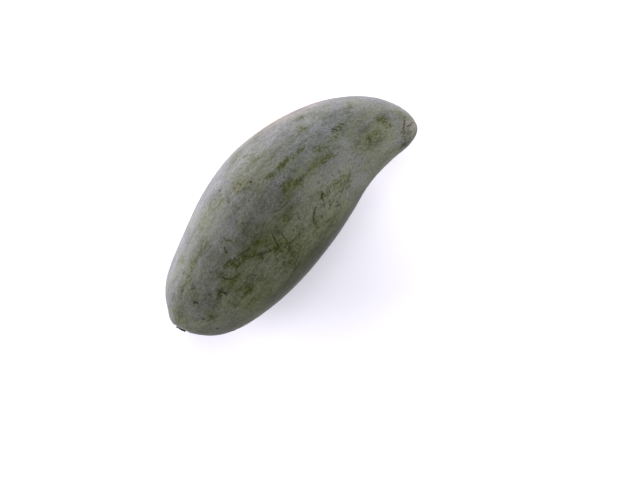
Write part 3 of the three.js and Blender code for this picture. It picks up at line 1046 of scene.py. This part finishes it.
def ramp(tree, value, low, high):
    # 0 at low, 1 at high, eased between them
    made = addNode(tree, "MapRange", {0: value, 1: low, 2: high}, interpolation_type="SMOOTHSTEP")
    return made.outputs[0]


def reckon(tree, operation, a, b=0.0, clamp=False):
    return addNode(tree, "Math", {0: a, 1: b}, operation=operation, use_clamp=clamp).outputs[0]


def plus(tree, a, b, clamp=False):
    return reckon(tree, "ADD", a, b, clamp)


def minus(tree, a, b):
    return reckon(tree, "SUBTRACT", a, b)


def times(tree, a, b, clamp=False):
    return reckon(tree, "MULTIPLY", a, b, clamp)


def swing(tree, value, size):
    # a noise that swings round 0, as far as size says
    return times(tree, minus(tree, value, 0.5), size)


def blendColor(tree, share, a, b, mode="MIX"):
    made = addNode(tree, "Mix", {0: share, 6: a, 7: b}, data_type="RGBA", blend_type=mode)
    return made.outputs[2]


def noiseAt(tree, place, scale, detail=3.0, rough=0.55, warp=0.0, output="Fac"):
    made = addNode(tree, "TexNoise", {
        "Vector": place, "Scale": scale, "Detail": detail, "Roughness": rough, "Distortion": warp})
    return made.outputs[output]


def squeezedNoise(tree, place, squeeze, *settings):
    # a noise that is lengthened along X of the place it is given
    squeezed = addNode(tree, "Mapping", {"Vector": place, "Scale": (squeeze, 1, 1)}).outputs[0]
    return noiseAt(tree, squeezed, *settings)


def makeMottle():
    # uneven fine-grained blotches, lengthened along X of the place they are given
    inputs = [("Place", "Vector"), ("Stretch", "Vector"), ("Scale", "Float")]
    group, start, end = newGroup("mottle", inputs, [("Fac", "Float")])
    stretched = addNode(group, "VectorMath", {0: start.outputs[0], 1: start.outputs[1]}, operation="MULTIPLY")
    place = stretched.outputs[0]
    broad = noiseAt(group, place, start.outputs[2], 7, 0.62, 0.4)
    finer = noiseAt(group, place, times(group, start.outputs[2], 3.1), 5, 0.65, 1.2)
    both = plus(group, swing(group, broad, 1.0), swing(group, finer, 0.3))
    group.links.new(plus(group, both, 0.5), end.inputs[0])
    return group


mottle = makeMottle()


def drawScratches(tree, place):
    # a pen attribute gives the way across and past the nearest mark, in half-widths, so a line stays thin
    # between the points; noise makes it waver and thin out
    look = peelLook
    shaky = addNode(tree, "SeparateColor", {0: noiseAt(tree, place, 700, 3, 0.65, output="Color")})
    waver = swing(tree, shaky.outputs[0], look["waver"])
    overrun = swing(tree, shaky.outputs[1], look["overrun"])
    drawn = 0.0
    for name in ("first", "second"):
        way = addNode(tree, "SeparateXYZ", {0: readMark(tree, name + "Pen", "Vector")})
        across = plus(tree, way.outputs[0], waver)
        past = reckon(tree, "MAXIMUM", plus(tree, way.outputs[1], overrun), 0.0)
        squares = plus(tree, reckon(tree, "POWER", across, 2.0), reckon(tree, "POWER", past, 2.0))
        away = reckon(tree, "SQRT", squares)
        line = times(tree, ramp(tree, away, *look["penEdge"]), ramp(tree, way.outputs[2], *look["penEnd"]))
        drawn = reckon(tree, "MAXIMUM", drawn, times(tree, line, readMark(tree, name + "Strength")))
    faint, dark = look["penFade"]
    fading = addNode(tree, "MapRange", {0: shaky.outputs[2], 1: 0.36, 2: 0.60, 3: faint, 4: dark})
    return times(tree, drawn, fading.outputs[0])


def layNoises(tree, place):
    # the noises of the skin by name, in the way that they run along the grain
    grain = readMark(tree, "grain", "Vector")
    noises = {name: squeezedNoise(tree, grain, *made) for name, made in peelLook["noises"].items()}
    noises["patches"] = addGroup(tree, mottle, {"Place": grain, "Stretch": (0.50, 1, 1), "Scale": 110})
    noises["dust"] = noiseAt(tree, place, 2300, 2, 0.7)
    return noises


def bloomCover(tree, noises, rubbed, bloomAndPaintedLight, zoneAndPaintedShade):
    # how thick the waxy bloom lies, from 0 to 1
    look = peelLook
    patches = noises["patches"]
    cover = plus(tree, look["cover"], zoneAndPaintedShade)
    for name, size in look["coverSwings"].items():
        cover = plus(tree, cover, swing(tree, noises[name], size))
    finer = plus(tree, swing(tree, noises["streaks"], 0.7), swing(tree, noises["fine"], 0.9))
    ragged = times(tree, rubbed, ramp(tree, plus(tree, patches, finer), 0.76, 0.36))
    ragged = reckon(tree, "MAXIMUM", ragged, times(tree, rubbed, 0.45))
    cover = minus(tree, cover, times(tree, ragged, look["rubDepth"]))
    # thin wandering lines, here and there
    wisp = ramp(tree, reckon(tree, "ABSOLUTE", minus(tree, noises["curl"], 0.5)), 0.022, 0.0)
    wisp = times(tree, wisp, ramp(tree, patches, 0.56, 0.36))
    cover = minus(tree, cover, times(tree, wisp, look["wispDepth"]))
    # the bloom bands, with the painted highlight down the back, thicken the cover
    return plus(tree, cover, times(tree, bloomAndPaintedLight, look["bloomAndLightDepth"]), clamp=True)


def bareSkin(tree, noises, rubbed, zoneAndPaintedShade):
    look = peelLook
    color = blendColor(tree, ramp(tree, noises["patches"], 0.35, 0.65), look["deepGreen"], look["olive"])
    worn = times(tree, rubbed, ramp(tree, noises["fine"], 0.38, 0.66))
    color = blendColor(tree, worn, color, look["rubbed"])
    # partly painted shade: where the zone is far below 0, as on the shaded belly edge, the bare skin turns deep
    # green
    return blendColor(tree, ramp(tree, zoneAndPaintedShade, -0.35, -0.80), color, look["deepGreen"])


def bloomColor(tree, noises, zoneAndPaintedShade):
    drift = times(tree, ramp(tree, noises["drift"], 0.36, 0.64), 0.85)
    cool = plus(tree, drift, readMark(tree, "chill"))
    cool = plus(tree, cool, times(tree, zoneAndPaintedShade, 0.5), clamp=True)
    return blendColor(tree, cool, peelLook["bloomWarm"], peelLook["bloomCool"])


def tintAndGrain(tree, color, noises, bloomAndPaintedLight, grit):
    # thick bloom and the painted highlight down the back are paler, some of the skin is blue-green or moss
    # green, and a fine grain lightens and darkens it
    look = peelLook
    color = blendColor(tree, bloomAndPaintedLight, color, look["paleBloomAndLight"], "MULTIPLY")
    turned = readMark(tree, "tint")
    color = blendColor(tree, ramp(tree, turned, 0.0, 1.0), color, look["teal"], "MULTIPLY")
    color = blendColor(tree, ramp(tree, turned, 0.0, -1.0), color, look["moss"], "MULTIPLY")
    grainy = plus(tree, swing(tree, noises["fine"], 1.05), swing(tree, noises["dust"], 1.1))
    # the tone strokes include painted shade along the belly edge
    toneAndPaintedShade = plus(tree, swing(tree, noises["patches"], 0.20), readMark(tree, "toneAndPaintedShade"))
    return blendColor(tree, 1.0, color, plus(tree, times(tree, grainy, grit), toneAndPaintedShade), "MULTIPLY")


def addBlushAndTan(tree, color, noises, tan):
    look = peelLook
    blush = times(tree, readMark(tree, "blush"), ramp(tree, noises["patches"], 0.2, 0.6))
    color = blendColor(tree, times(tree, blush, look["blushShare"]), color, look["blush"])
    rough = plus(tree, noises["patches"], swing(tree, noises["fine"], 1.0))
    return blendColor(tree, times(tree, tan, ramp(tree, rough, 0.30, 0.62)), color, look["cork"])


def addSpecks(tree, color, place, grit):
    # small dark specks of uneven size, and finer pale ones
    look = peelLook
    shaky = noiseAt(tree, place, 900, 2, 0.6, output="Color")
    shift = (1.1 * mm, 1.1 * mm, 1.1 * mm)
    loose = addNode(tree, "VectorMath", {0: shaky, 1: shift, 2: place}, operation="MULTIPLY_ADD").outputs[0]
    cells = addNode(tree, "TexVoronoi", {"Vector": loose, "Scale": look["speckScale"]})
    size = addNode(tree, "SeparateColor", {0: cells.outputs["Color"]}).outputs[0]
    reach = times(tree, ramp(tree, size, 0.55, 1.0), look["speckReach"])
    speck = ramp(tree, minus(tree, reach, cells.outputs["Distance"]), -0.05, 0.06)
    speck = times(tree, speck, times(tree, grit, look["speckShare"]))
    color = blendColor(tree, speck, color, look["scratch"])
    pores = addNode(tree, "TexVoronoi", {"Vector": loose, "Scale": look["poreScale"]})
    pore = ramp(tree, pores.outputs["Distance"], 0.22, 0.08)
    return blendColor(tree, times(tree, pore, look["poreShare"]), color, look["bloomCool"])


def addWornEnds(tree, color, place, patches):
    for end, (uneven, start, full, share, paint) in peelLook["wornEnds"].items():
        away = addNode(tree, "VectorMath", {0: place, 1: fruitShape[end]}, operation="DISTANCE")
        ragged = plus(tree, away.outputs["Value"], swing(tree, patches, uneven))
        near = times(tree, ramp(tree, ragged, start, full), share)
        color = blendColor(tree, near, color, peelLook[paint])
    return color


def makePeel():
    look = peelLook
    material, tree = newMaterial("mangoPeel")
    place = addNode(tree, "TexCoord").outputs["Object"]
    noises = layNoises(tree, place)
    fine = noises["fine"]
    zoneAndPaintedShade = readMark(tree, "zoneAndPaintedShade")
    rubbed = readMark(tree, "rubbed")
    bloomAndPaintedLight = readMark(tree, "bloomAndPaintedLight")
    grit = readMark(tree, "grit")
    tan = readMark(tree, "tan")

    cover = bloomCover(tree, noises, rubbed, bloomAndPaintedLight, zoneAndPaintedShade)
    color = blendColor(tree, cover, bareSkin(tree, noises, rubbed, zoneAndPaintedShade), bloomColor(tree, noises, zoneAndPaintedShade))
    color = tintAndGrain(tree, color, noises, bloomAndPaintedLight, grit)
    color = addBlushAndTan(tree, color, noises, tan)
    color = addSpecks(tree, color, place, grit)
    color = addWornEnds(tree, color, place, noises["patches"])
    drawn = times(tree, drawScratches(tree, place), ramp(tree, fine, 0.24, 0.46), clamp=True)
    penColor = blendColor(tree, tan, look["scratch"], look["oldScratch"])
    color = blendColor(tree, drawn, color, penColor)

    bare, waxy = look["roughness"]
    rough = addNode(tree, "MapRange", {0: cover, 3: bare, 4: waxy}).outputs[0]
    height = plus(tree, times(tree, fine, 0.6), times(tree, noises["streaks"], 0.4))
    height = minus(tree, height, times(tree, drawn, 0.5))
    bump = addNode(tree, "Bump", {"Strength": 0.25, "Distance": look["ridge"], "Height": height})
    shader = addNode(tree, "BsdfPrincipled", {
        "Base Color": color, "Roughness": rough, "Normal": bump.outputs[0],
        "Specular IOR Level": 0.12, "Sheen Weight": 0.04, "Sheen Roughness": 0.5})
    addNode(tree, "OutputMaterial", {"Surface": shader.outputs[0]})
    return material


skin.data.materials.append(makePeel())
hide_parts("fruit")
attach(skin, "root")
print("peel ready")


stub = {
    "radius": 2.75 * mm,
    "depth": 3.0 * mm,
    "faceAt": 0.90 * mm,      # how far its face stands past the rim
    "lean": 21.7,             # degrees that its axis leans from -X towards the belly
    "sides": 28,
    "barkWide": 0.45 * mm,    # the ring of bark round the broken wood
    "barkUp": 0.10 * mm,      # how far the middle of that ring stands out
    "hollow": 0.55 * mm,      # how deep the broken wood lies in it
    # the wood, from the bark to the middle: how far in, as a share of the radius, and how far up
    "woodSteps": ((0.30, 0.35 * mm), (0.22, -0.3 * mm)),
    "woodMiddle": 0.10,       # the last inset, also as a share of the radius
    "ragged": 0.30 * mm,
    "rough": 0.25 * mm,       # a finer unevenness of the torn end
    "furrow": 0.08,           # share of the radius that the furrows of the bark go in
    "seed": 3,
    "bark": (0.009, 0.007, 0.006, 1),
    "wood": (0.045, 0.030, 0.021, 1),
    "dust": (0.11, 0.09, 0.075, 1),
}


def chooseFaces(piece, axis):
    # in edit mode: selects only the faces that look along the axis
    net = bmesh.from_edit_mesh(piece.data)
    for face in net.faces:
        face.select = face.normal.dot(axis) > 0.9
    net.select_flush_mode()
    bmesh.update_edit_mesh(piece.data)


def pushFaces(way):
    bpy.ops.mesh.extrude_region_move(TRANSFORM_OT_translate={"value": way})


def shapeStub(axis):
    # a short round peg whose face has a ring of bark and steps of broken wood inside it
    pickNothing()
    centre = fruitShape["rimCentre"] + axis * (stub["faceAt"] - stub["depth"] / 2)
    bpy.ops.mesh.primitive_cylinder_add(
        vertices=stub["sides"], radius=stub["radius"], depth=stub["depth"], location=centre,
        rotation=axis.to_track_quat("Z", "Y").to_euler())
    piece = bpy.context.object
    piece.name = "mango_stub"
    bpy.ops.object.transform_apply(location=True, rotation=True, scale=True)
    bpy.ops.object.mode_set(mode="EDIT")
    bpy.ops.mesh.select_mode(type="FACE")
    chooseFaces(piece, axis)
    bpy.ops.mesh.inset(thickness=0.5 * stub["barkWide"])
    bpy.ops.transform.translate(value=axis * stub["barkUp"])
    bpy.ops.mesh.inset(thickness=0.5 * stub["barkWide"])
    pushFaces(-axis * stub["hollow"])
    for inward, up in stub["woodSteps"]:
        bpy.ops.mesh.inset(thickness=inward * stub["radius"])
        pushFaces(axis * up)
    bpy.ops.mesh.inset(thickness=stub["woodMiddle"] * stub["radius"])
    bpy.ops.mesh.select_all(action="SELECT")
    bpy.ops.mesh.subdivide(number_cuts=1)
    bpy.ops.mesh.normals_make_consistent(inside=False)
    bpy.ops.object.mode_set(mode="OBJECT")
    smoothPiece(piece, 1)
    return piece


def tearStub(piece, axis):
    # torn edge and furrowed bark: the points move in and out along the axis and round it
    chance = np.random.default_rng(stub["seed"])
    axis = np.array(axis)
    points = readPoints(piece.data)
    fromFoot = points - np.array(fruitShape["rimCentre"])
    up = fromFoot @ axis
    outward = fromFoot - up[:, None] * axis
    turn = np.arctan2(outward[:, 2], outward[:, 1])
    spread = np.linalg.norm(outward, axis=1) / stub["radius"]
    tear = sum(chance.uniform(0.3, 1) * np.sin(k * turn + chance.uniform(0, 6.3)) for k in (2, 3, 5, 8, 13))
    furrow = sum(np.sin(k * turn + chance.uniform(0, 6.3)) / 6 for k in (5, 9, 14)) + 0.5
    atTop = eased(up, -0.6 * mm, stub["faceAt"])
    points -= axis * (atTop * spread * stub["ragged"] * (1.2 + tear) * 0.4)[:, None]
    points -= outward * (stub["furrow"] * furrow * eased(spread, 0.8, 1.0))[:, None]
    points -= axis * (atTop * stub["rough"] * rolling(points, 0.9 * mm, chance))[:, None]
    writePoints(piece.data, points)
    keepValue(piece.data, "fromMiddle", spread)


def makeStub():
    lean = math.radians(stub["lean"])
    axis = Vector((-math.cos(lean), -math.sin(lean), 0))
    piece = shapeStub(axis)
    tearStub(piece, axis)
    bpy.ops.object.shade_smooth()
    return piece


def makeStalkWood():
    material, tree = newMaterial("driedStalk")
    place = addNode(tree, "TexCoord").outputs["Object"]
    centred = addNode(tree, "Mapping", {"Vector": place, "Location": -fruitShape["rimCentre"]}).outputs[0]
    blotch = addGroup(tree, mottle, {"Place": centred, "Stretch": (0.5, 1, 1), "Scale": 700})
    fibre = squeezedNoise(tree, centred, 0.12, 2600, 3, 0.6)
    inside = plus(tree, readMark(tree, "fromMiddle"), swing(tree, blotch, 0.4))
    inside = times(tree, ramp(tree, inside, 0.92, 0.70), 0.7)
    dusty = times(tree, ramp(tree, blotch, 0.55, 0.90), 0.25)
    color = blendColor(tree, ramp(tree, fibre, 0.48, 0.80), stub["bark"], stub["wood"])
    color = blendColor(tree, inside, color, stub["wood"])
    color = blendColor(tree, dusty, color, stub["dust"])
    height = plus(tree, fibre, times(tree, blotch, 0.6))
    bump = addNode(tree, "Bump", {"Strength": 0.7, "Distance": 0.2 * mm, "Height": height})
    rough = addNode(tree, "MapRange", {0: blotch, 3: 0.75, 4: 0.95}).outputs[0]
    shader = addNode(tree, "BsdfPrincipled", {
        "Base Color": color, "Roughness": rough, "Normal": bump.outputs[0], "Specular IOR Level": 0.25})
    addNode(tree, "OutputMaterial", {"Surface": shader.outputs[0]})
    return material


stubPiece = makeStub()
stubPiece.data.materials.append(makeStalkWood())
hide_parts("stem_stub")
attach(stubPiece, "root")
print("stub ready")
